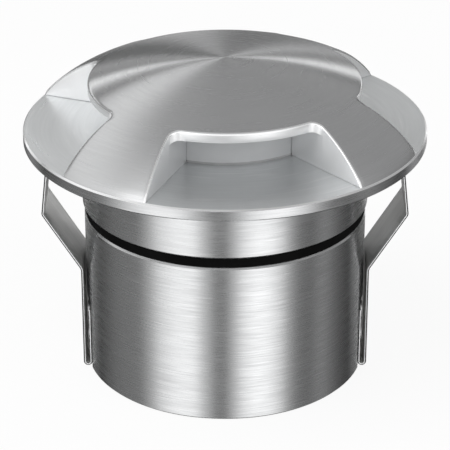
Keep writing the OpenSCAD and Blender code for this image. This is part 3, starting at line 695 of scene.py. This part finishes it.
class WELL_OT_flange(Maker, bpy.types.Operator):
    """Make the flange with its collar, and the screwed neck below it"""

    bl_idname = "well_light.flange"
    bl_label = "Flange, collar and neck"

    turns = 3.4
    steps = 96  # of one turn
    sunk = 0.1 * MM  # depth of the thread's foot in the core
    # In shares of the pitch: start over the neck's end, and heights of the ridge's four corners
    start_share, ridge_shares = 0.3, (0, 0.28, 0.44, 0.72)

    def execute(self, context):
        h = self.light.housing
        under = RIM_Z - h.flange
        core = h.neck_radius - h.thread_depth
        bm = bmesh.new()
        turned_ring(bm, [
            (h.flange_bore, under), (h.collar_bore, under), (h.collar_bore, COLLAR_Z + h.neck_web),
            (h.neck_bore, COLLAR_Z + h.neck_web), (h.neck_bore, NECK_Z), (core, NECK_Z),
            (core, COLLAR_Z - h.thread_depth), (h.neck_radius, COLLAR_Z),
            (h.collar_radius - h.edge_chamfer, COLLAR_Z), (h.collar_radius, COLLAR_Z + h.edge_chamfer),
            (h.collar_radius, under - h.edge_chamfer), (h.collar_radius + h.edge_chamfer, under),
            (RIM_R - h.rim_chamfer, under), (RIM_R, under + h.rim_chamfer),
            (RIM_R, RIM_Z - h.rim_chamfer), (RIM_R - h.rim_chamfer, RIM_Z), (h.flange_bore, RIM_Z)])
        for face in bm.faces:
            height = face.calc_center_median().z
            if height > RIM_Z - HAIR:
                face.material_index = 1
            elif height > RIM_Z - h.rim_chamfer:
                face.material_index = 2
        finish_piece("flange_and_collar", bm, ["flange", "pocket", "rounding"], "flange_steel", "head",
                     "flange_ring")

        bm = bmesh.new()
        root, crest, rise = core - self.sunk, h.neck_radius, h.thread_pitch
        heights = [NECK_Z + (self.start_share + part) * rise for part in self.ridge_shares]
        ridge = closed_outline(bm, list(zip((root, crest, crest, root), heights)))
        bmesh.ops.spin(bm, geom=ridge, axis=(0, 0, 1), dvec=(0, 0, rise / self.steps),
                       angle=math.tau * self.turns, steps=int(self.steps * self.turns))
        bmesh.ops.holes_fill(bm, edges=[e for e in bm.edges if e.is_boundary], sides=4)
        finish_piece("neck_thread", bm, ["flange"], "flange_steel", "head")
        return {"FINISHED"}


class WELL_OT_diffuser(Maker, bpy.types.Operator):
    """Make the frosted ring at the back of the pockets"""

    bl_idname = "well_light.diffuser"
    bl_label = "Frosted diffuser"

    def execute(self, context):
        bm = bmesh.new()
        square_ring(bm, self.light.housing.flange_bore, *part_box("diffuser_ring"), steps=192)
        finish_piece("frosted_diffuser", bm, ["frosted"], "frosted", "head", "diffuser_ring")
        return {"FINISHED"}


class WELL_OT_seal(Maker, bpy.types.Operator):
    """Make the black seal between collar and barrel"""

    bl_idname = "well_light.seal"
    bl_label = "Black seal"

    def execute(self, context):
        h = self.light.housing
        low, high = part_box("body_gasket")
        bm = bmesh.new()
        square_ring(bm, h.barrel_bore, low, high)
        rims = [e for e in bm.edges if all(abs(v.co.xy.length - high.x) < SAME for v in e.verts)
                and abs(e.verts[0].co.z - e.verts[1].co.z) < SAME]
        soften(bm, rims, h.seal_round, segments=3)
        finish_piece("black_seal", bm, ["rubber"], "seal_black", "seal", "body_gasket")
        return {"FINISHED"}


class WELL_OT_barrel(Maker, bpy.types.Operator):
    """Make the barrel: a cup with a recess under its floor and flats for the clips"""

    bl_idname = "well_light.barrel"
    bl_label = "Barrel"

    def execute(self, context):
        h = self.light.housing
        bm = bmesh.new()
        turned_ring(bm, [
            (h.gland_hole, h.recess), (h.barrel_bore, h.recess), (h.barrel_bore, 0.0),
            (BARREL_R - h.edge_chamfer, 0.0), (BARREL_R, h.edge_chamfer),
            (BARREL_R, h.flat_height - 2 * HAIR), (BARREL_R, h.flat_height),
            (BARREL_R, FOOT_TO_SEAL - h.edge_chamfer), (BARREL_R - h.edge_chamfer, FOOT_TO_SEAL),
            (h.barrel_bore, FOOT_TO_SEAL), (h.barrel_bore, h.recess + h.floor),
            (h.gland_hole, h.recess + h.floor)], steps=400)
        for vert in bm.verts:
            if vert.co.z < h.flat_height - HAIR:
                vert.co.x = max(-h.flat, min(h.flat, vert.co.x))
        finish_piece("barrel_cup", bm, ["barrel"], "barrel_steel", "housing", "barrel")
        return {"FINISHED"}


class WELL_OT_clips(Maker, bpy.types.Operator):
    """Make the two spring clips, each one unbroken strip from its riveted leg to its tip"""

    bl_idname = "well_light.clips"
    bl_label = "Spring clips"

    # Steps of the riveted leg, of the hairpin and of a bend, and columns across the strip
    leg_steps, hairpin_steps, bend_steps, columns = 6, 12, 10, 4
    step = 0.6 * MM  # of the straight stretches
    edge_lean = 0.25  # an edge's faces lean sideways by more than this
    # Edge faces lying outward of this depth inside the middle line get painted shade, the rest a painted
    # highlight.
    painted_shade_depth = 0.04 * MM  # depth inside the middle line from which an edge is dark
    blend_reach = 1.5 * MM  # up and down from the bend
    edge_angle = math.radians(60)  # above which an edge is rounded

    def middle_line(self):
        """Points (x, z) of the strip's middle line on the +X side."""
        c = self.light.clip
        half = c.thickness / 2
        inner = self.light.housing.flat + half
        bend_r = (c.leg - inner) / 2
        low = c.hairpin + half + bend_r
        points = [(inner, c.leg_top - (c.leg_top - low) * i / self.leg_steps)
                  for i in range(self.leg_steps + 1)]
        for i in range(1, self.hairpin_steps + 1):
            turn = math.pi + math.pi * i / self.hairpin_steps
            points.append((inner + bend_r + bend_r * math.cos(turn), low + bend_r * math.sin(turn)))
        path = [points[-1], (c.leg, c.bend), (c.knee, c.knee_height), (c.tip, c.tip_height)]
        path = [Vector(point) for point in path]
        for before, corner, after, radius in zip(path, path[1:], path[2:], (c.bend_radius, c.knee_radius)):
            back, ahead = (before - corner).normalized(), (after - corner).normalized()
            half_angle = back.angle(ahead) / 2
            cut = radius / math.tan(half_angle)
            centre = corner + (back + ahead).normalized() * (radius / math.sin(half_angle))
            first, last = corner + back * cut - centre, corner + ahead * cut - centre
            points += self.between(points[-1], centre + first)
            swing = first.angle_signed(last)
            for j in range(1, self.bend_steps + 1):
                points.append(tuple(centre + Matrix.Rotation(-swing * j / self.bend_steps, 2) @ first))
        return points + self.between(points[-1], path[-1])

    def between(self, start, end):
        """Points from start, which is left out, to end."""
        start, end = Vector(start), Vector(end)
        count = max(1, round((end - start).length / self.step))
        return [tuple(start.lerp(end, i / count)) for i in range(1, count + 1)]

    def tell_edges(self, bm, side):
        """Gives the strip's edges their finishes: dark towards the outside as painted shade and bright
        inside as a painted highlight.
        """
        line = [Vector(point) for point in self.middle_line()]
        for face in bm.faces:
            if abs(face.normal.y) < self.edge_lean:
                continue
            centre = face.calc_center_median()
            spot = Vector((side * centre.x, centre.z))
            near = min(range(1, len(line)), key=lambda i: (line[i] + line[i - 1] - 2 * spot).length)
            along = line[near] - line[near - 1]
            out = Vector((along.y, -along.x)).normalized().dot(spot - line[near])
            # Painted shade on the outer part of an edge, a painted highlight on the inner part.
            face.material_index = 1 if out > -self.painted_shade_depth else 2

    def execute(self, context):
        c = self.light.clip
        for side, label in ((-1, "left"), (1, "right")):
            bm = bmesh.new()
            line = [bm.verts.new((side * x, -c.width / 2, z)) for x, z in self.middle_line()]
            edges = [bm.edges.new(pair) for pair in zip(line, line[1:])]
            for _ in range(self.columns):
                edges, moved = extruded(bm, edges)
                bmesh.ops.translate(bm, verts=moved, vec=(0, c.width / self.columns, 0))
            sheet = new_object(f"{label}_strip_sheet", bm)
            wall = sheet.modifiers.new("Strip thickness", "SOLIDIFY")
            wall.thickness, wall.offset, wall.use_even_offset = c.thickness, 0.0, True
            edge = sheet.modifiers.new("Edge rounding", "BEVEL")
            edge.width, edge.segments, edge.limit_method = c.edge_round, 2, "ANGLE"
            edge.angle_limit = self.edge_angle
            done = sheet.evaluated_get(bpy.context.evaluated_depsgraph_get())
            bm = bmesh.new()
            bm.from_mesh(done.to_mesh())
            done.to_mesh_clear()
            bpy.data.meshes.remove(sheet.data)
            self.tell_edges(bm, side)
            strip = finish_piece(f"{label}_spring_strip", bm, ["spring", "dark_edge", "bright_edge"],
                                 "spring_steel", None, f"{label}_clip", f"{label}_clip_arm", sharp=40.0)
            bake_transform(strip)
            dress(f"{label}_clip_rivets", "screw")
        return {"FINISHED"}


class WELL_OT_gland(Maker, bpy.types.Operator):
    """Dress the cable gland under the barrel's floor"""

    bl_idname = "well_light.gland"
    bl_label = "Cable gland"

    flat, sharp = math.radians(2), math.radians(25)

    def rounded_copy(self, node, width):
        """A copy of a CAD node with its doubles merged, its flats joined and its sharp edges rounded."""
        bm = bmesh.new()
        bm.from_mesh(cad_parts[node].data)
        bmesh.ops.remove_doubles(bm, verts=bm.verts[:], dist=HAIR)
        bmesh.ops.dissolve_limit(bm, angle_limit=self.flat, verts=bm.verts[:], edges=bm.edges[:])
        soften(bm, sharp_edges(bm, self.sharp), width)
        finish_piece(f"{node}_rounded", bm, ["nickel"], "gland_nickel", "housing", node)

    def execute(self, context):
        self.rounded_copy("gland_nut", width=0.25 * MM)
        self.rounded_copy("gland_body", width=0.2 * MM)
        dress("gland_gasket", "rubber")
        dress("gland_seal", "rubber")
        dress("gland_locknut", "nickel")
        return {"FINISHED"}


class WELL_OT_inside(Maker, bpy.types.Operator):
    """Dress the lamp, the driver and the screws inside"""

    bl_idname = "well_light.inside"
    bl_label = "Lamp and driver"

    finishes = {
        "seal": "lens_gasket_upper lens_gasket_lower",
        "screw": "reflector_screw cover_screws heat_sink_screws led_board_screws driver_board_screws",
        "reflector": "reflector_cone", "aluminium": "heat_sink", "pad": "thermal_pad",
        "lamp_board": "led_board", "lamp": "led_emitters", "lead": "led_leads", "board": "driver_board",
        "copper": "driver_inductor", "sleeve": "driver_capacitors", "chip": "driver_chips",
        "terminal": "terminal_block", "brass": "standoffs",
    }

    def execute(self, context):
        for material, nodes in self.finishes.items():
            for node in nodes.split():
                dress(node, material)
        return {"FINISHED"}


class WELL_OT_stage(Maker, bpy.types.Operator):
    """Set up the camera, the pale floor, the lamps and the light tent"""

    bl_idname = "well_light.stage"
    bl_label = "Stage"

    # Tent brightness by the angle round the object from the camera to the right, in degrees: low, which
    # the barrel mirrors, at eye level and overhead
    low = [(-180, .12), (-150, .05), (-130, .02), (-112, .12), (-98, .19), (-84, .20), (-73, .20), (-64, .5),
           (-52, 1.15), (-38, 1.45), (-26, 1.45), (-16, .68), (-7, .22), (0, .20), (7, .64), (16, 1.3),
           (26, 1.65), (35, 1.6), (45, 1.15), (54, .45), (62, .19), (74, .14), (82, .30), (90, .31),
           (98, .18), (114, .08), (134, .02), (155, .06), (180, .12)]
    middle = [(-180, .3), (-150, .15), (-122, .2), (-106, 1.0), (-66, 1.2), (-52, 1.9), (-36, 1.9),
              (-22, 1.2), (0, 1.15), (40, 1.15), (65, .8), (90, .45), (110, .4), (140, .45), (165, .45),
              (180, .45)]
    high = [(-180, .4), (-120, .6), (-70, .6), (0, .42), (90, .38), (180, .4)]
    # Heights, in shares of the radius, over which low turns into middle and middle into high
    eye_level, overhead = (-0.12, 0.12), (0.55, 0.85)
    # Fan of panels behind the object, which the dome mirrors: each one's middle and half width in degrees
    # round the fan's middle, and its brightness
    fan = [(-169, 11, 1.9), (-138, 13, .6), (-98, 12, .68), (-66, 8, .8), (-34, 13, 1.9), (54, 70, .42),
           (145, 21, 1.05)]
    fan_ground, fan_seam = 0.1, 0.6  # brightness between the panels, and at 180 degrees
    slope_share, slope_limit = 0.9, 16  # share of a half width in which a panel fades, and its limit
    fan_edge = (0.25, 0.6)  # where the fan ends, in shares of the way to its middle
    peak = 2.0  # brightest level of the tent
    # Lamps by place, size and share of the key, and the point that they face
    lamps = {"overhead_lamp": ((-0.35, -0.25, 0.8), 0.7, 1.0), "side_lamp": ((0.7, -0.5, 0.45), 0.5, 0.35)}
    aim = (0, 0, 0.04)
    # Colour of the floor, and how far it lies under the foot
    paper, floor_gap = (0.9, 0.9, 0.9, 1.0), 0.1 * MM

    def ramp(self, nodes, turn, stops):
        """Brightness by angle, as a smooth ramp in shares of the peak."""
        node = nodes.add("ShaderNodeValToRGB", {0: turn})
        node.color_ramp.interpolation = "EASE"
        points = node.color_ramp.elements
        while len(points) < len(stops):
            points.new(0.5)
        for point, (degrees, _) in zip(points, stops):
            point.position = (degrees + 180) / 360
        for point, (_, level) in zip(points, stops):
            point.color = (*[level / self.peak] * 3, 1.0)
        return node.outputs[0]

    def fan_stops(self):
        """The fan's panels as stops of one ramp. Panels that meet run into each other."""
        stops, end = [(-180, self.fan_seam)], -180
        for middle, half, level in self.fan:
            if middle - half > end:
                stops += [(angle, self.fan_ground) for angle in (end, middle - half) if angle > -180]
            slope = min(half, self.slope_limit) * self.slope_share
            stops += [(middle - half + slope, level), (middle + half - slope, level)]
            end = middle + half
        return stops + [(end, self.fan_ground), (180, self.fan_seam)]

    def tent(self, settings):
        """A round tent with bright and dark panels that only the steel mirrors."""
        bm = bmesh.new()
        bmesh.ops.create_uvsphere(bm, u_segments=48, v_segments=24, radius=settings.tent_radius)
        material, nodes = new_material("Tent panels")
        tent = new_object("light_tent", bm, [material])
        axes = nodes.axes()
        turn = nodes.math("ARCTAN2", axes[0], nodes.math("MULTIPLY", axes[1], -1.0))
        turn = nodes.math("MULTIPLY_ADD", turn, 1.0 / math.tau, 0.5)
        rise = nodes.math("DIVIDE", axes[2], settings.tent_radius)
        low, middle, high = (self.ramp(nodes, turn, stops) for stops in (self.low, self.middle, self.high))
        panels = nodes.tint(nodes.spread(rise, *self.eye_level), low, middle)
        panels = nodes.tint(nodes.spread(rise, *self.overhead), panels, high)
        up, back = math.sin(settings.fan_rise), math.cos(settings.fan_rise)
        above = nodes.math("MULTIPLY_ADD", axes[1], -up, nodes.math("MULTIPLY", axes[2], back))
        facing = nodes.math("MULTIPLY_ADD", axes[1], back, nodes.math("MULTIPLY", axes[2], up))
        spoke = nodes.math("MULTIPLY_ADD", nodes.math("ARCTAN2", above, axes[0]), 1.0 / math.tau, 0.5)
        facing = nodes.math("DIVIDE", facing, settings.tent_radius)
        fan = self.ramp(nodes, spoke, self.fan_stops())
        panels = nodes.tint(nodes.spread(facing, *self.fan_edge), panels, fan)
        shine = nodes.add("ShaderNodeEmission", {0: panels, 1: self.peak * settings.tent_level})
        nodes.add("ShaderNodeOutputMaterial", {0: shine.outputs[0]})
        tent.visible_camera = tent.visible_diffuse = tent.visible_shadow = False
        tent.visible_transmission = False

    def floor(self, settings):
        """A pale floor that keeps the shadow."""
        bm = bmesh.new()
        bmesh.ops.create_circle(bm, cap_ends=True, segments=96, radius=settings.floor_radius)
        material, nodes = new_material("Pale floor")
        floor = new_object("pale_floor", bm, [material])
        floor.location.z = -self.floor_gap
        paper = nodes.add("ShaderNodeBsdfDiffuse", {"Color": self.paper})
        white = nodes.add("ShaderNodeEmission", {0: WHITE, 1: 1.0})
        path = nodes.add("ShaderNodeLightPath").outputs
        seen = nodes.math("MULTIPLY", path["Is Camera Ray"], settings.floor_white)
        mix = nodes.add("ShaderNodeMixShader", {0: seen, 1: paper.outputs[0], 2: white.outputs[0]})
        nodes.add("ShaderNodeOutputMaterial", {0: mix.outputs[0]})
        floor.visible_glossy = False

    def world(self, settings):
        world = bpy.data.worlds.new("Studio")
        bpy.context.scene.world = world
        nodes = emptied(world)
        path = nodes.add("ShaderNodeLightPath").outputs
        seen = nodes.math("MAXIMUM", path["Is Camera Ray"], path["Is Glossy Ray"])
        seen = nodes.math("MAXIMUM", seen, path["Is Transmission Ray"])
        soft = nodes.add("ShaderNodeBackground", {0: WHITE, 1: settings.ambient})
        white = nodes.add("ShaderNodeBackground", {0: WHITE, 1: 1.0})
        mix = nodes.add("ShaderNodeMixShader", {0: seen, 1: soft.outputs[0], 2: white.outputs[0]})
        nodes.add("ShaderNodeOutputWorld", {0: mix.outputs[0]})

    def lamp(self, name, place, size, power):
        light = bpy.data.lights.new(name, "AREA")
        light.shape, light.size, light.energy = "DISK", size, power
        lamp = linked(name, light)
        lamp.location = place
        lamp.rotation_euler = (Vector(self.aim) - Vector(place)).to_track_quat("-Z", "Y").to_euler()
        lamp.visible_glossy = False

    def execute(self, context):
        settings = self.light.stage
        scene = bpy.context.scene
        camera = bpy.data.cameras.new("photo_camera")
        camera.lens = settings.lens
        eye = linked("photo_camera", camera)
        eye.location = (0.0, -settings.distance, settings.height)
        eye.rotation_euler = (math.pi / 2 - settings.pitch, 0.0, 0.0)
        scene.camera = eye
        self.floor(settings)
        self.tent(settings)
        self.world(settings)
        for name, (place, size, part) in self.lamps.items():
            self.lamp(name, place, size, settings.key * part)
        scene.view_settings.view_transform = "Standard"
        return {"FINISHED"}


class WELL_PT_panel(bpy.types.Panel):
    """Lists the pieces of the light"""

    bl_idname = "WELL_PT_panel"
    bl_label = "Well Light"
    bl_space_type = "VIEW_3D"
    bl_region_type = "UI"
    bl_category = "Well Light"

    def draw(self, context):
        for step in STEPS:
            self.layout.operator(step.bl_idname)


SETTINGS = (CoverSizes, HousingSizes, ClipSizes, Finish, StageSettings, WellLight)
STEPS = (WELL_OT_finishes, WELL_OT_stage, WELL_OT_cover, WELL_OT_flange, WELL_OT_diffuser, WELL_OT_seal,
         WELL_OT_barrel, WELL_OT_clips, WELL_OT_gland, WELL_OT_inside)


def register():
    for cls in SETTINGS + STEPS + (WELL_PT_panel,):
        bpy.utils.register_class(cls)
    bpy.types.Scene.well_light = PointerProperty(type=WellLight)


def unregister():
    del bpy.types.Scene.well_light
    for cls in reversed(SETTINGS + STEPS + (WELL_PT_panel,)):
        bpy.utils.unregister_class(cls)


def main():
    register()
    for step in STEPS:
        family, action = step.bl_idname.split(".")
        getattr(getattr(bpy.ops, family), action)()


if __name__ == "__main__":
    main()
